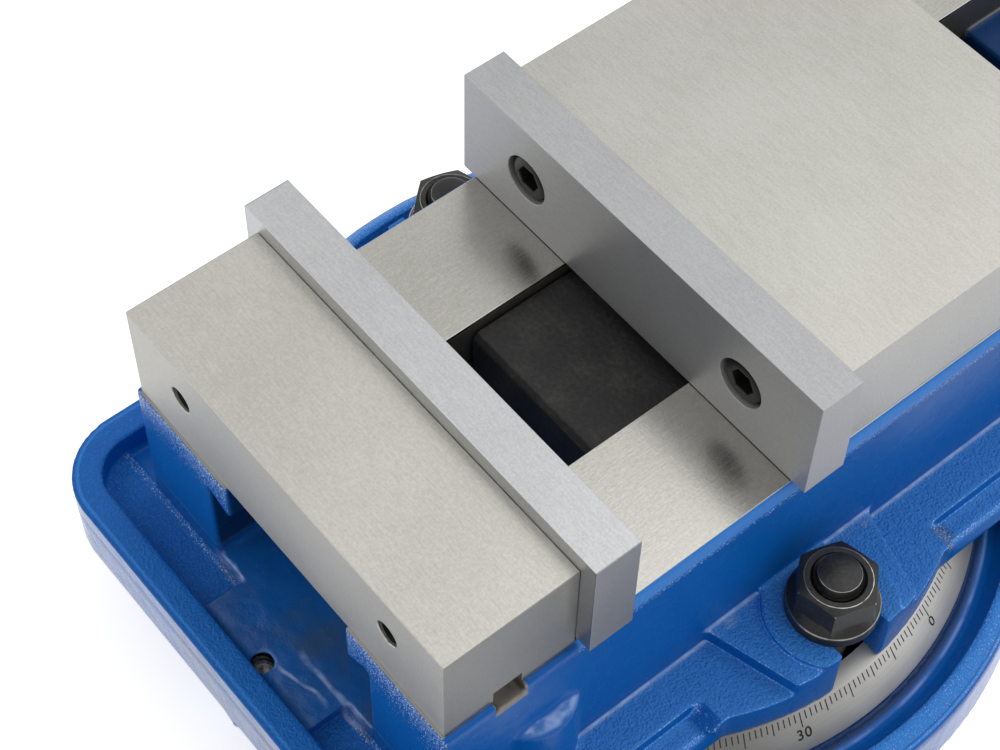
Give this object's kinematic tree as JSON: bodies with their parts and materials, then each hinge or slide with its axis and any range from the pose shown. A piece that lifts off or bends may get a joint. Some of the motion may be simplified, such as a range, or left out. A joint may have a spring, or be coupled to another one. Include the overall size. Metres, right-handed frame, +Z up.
{
  "type": "swivel machine vise",
  "caption": "Swivel machine vise: cast bed with ground ways, fixed jaw and screw-driven sliding jaw with hard plates, crank, and a graduated round base with bolt ears.",
  "frame": {"origin": "On the swivel axis, in the plane that the base stands on", "axes": "X along the jaws, +Y from the fixed jaw towards the crank, +Z up"},
  "size_m": [0.28, 0.5256, 0.1725],
  "materials": {
    "blue_enamel": "blue enamel over a grainy casting, glossy on smooth walls",
    "ground_iron": "warm grey, finely ground",
    "plate_steel": "cool grey, finely ground hardened steel",
    "bright_steel": "turned bright steel",
    "black_oxide": "black oxide with worn edges",
    "bronze": "turned bronze",
    "black_plastic": "black moulded grip"
  },
  "bodies": {
    "base": {"swivel_base": "blue_enamel", "pivot_plug": "bright_steel"},
    "bed_body": {"bed": "blue_enamel", "chip_tray": "blue_enamel", "t_bolts": "black_oxide", "flange_nuts": "black_oxide", "fixed_jaw": "ground_iron", "fixed_jaw_keys": "bright_steel", "fixed_jaw_bolts": "black_oxide", "fixed_jaw_plate": "plate_steel", "fixed_plate_screws": "black_oxide", "thrust_race_fixed": "bright_steel", "screw_bush": "bronze", "bearing_cap": "ground_iron", "bearing_cap_screws": "black_oxide"},
    "carriage": {"movable_jaw": "ground_iron", "movable_jaw_plate": "plate_steel", "movable_plate_screws": "black_oxide", "drive_nut": "black_oxide", "half_ball": "bright_steel", "nut_set_screw": "black_oxide"},
    "screw": {"lead_screw": "bright_steel", "thrust_race_turning": "bright_steel", "screw_collar": "bright_steel", "collar_set_screw": "black_oxide", "crank_arm": "black_oxide", "crank_spindle": "bright_steel"},
    "bearing_cage": {"thrust_cage": "bronze", "thrust_balls": "bright_steel"},
    "grip": {"crank_grip": "black_plastic"}
  },
  "joints": [
    {"name": "swivel", "type": "hinge", "parent": "base", "child": "bed_body", "pos_m": [0, 0, 0.0315], "axis": [0, 0, 1], "continuous": true},
    {"name": "screw_turn", "type": "hinge", "parent": "bed_body", "child": "screw", "pos_m": [0, 0.2, 0.0725], "axis": [0, 1, 0], "range_deg": [-4816, 4176]},
    {"name": "jaw_slide", "type": "slide", "parent": "bed_body", "child": "carriage", "axis": [0, 1, 0], "range_m": [-0.0669, 0.05805]},
    {"name": "cage_turn", "type": "hinge", "parent": "bed_body", "child": "bearing_cage", "pos_m": [0, 0.1735, 0.0725], "axis": [0, 1, 0], "range_deg": [-2409, 2089]},
    {"name": "grip_spin", "type": "hinge", "parent": "screw", "child": "grip", "pos_m": [0.12287, 0.31, 0.15854], "axis": [0, 1, 0], "continuous": true}
  ],
  "couplings": [
    {"joint": "jaw_slide", "follows": "screw_turn", "m_per_rad": 0.00079577},
    {"joint": "cage_turn", "follows": "screw_turn", "ratio": 0.5}
  ]
}
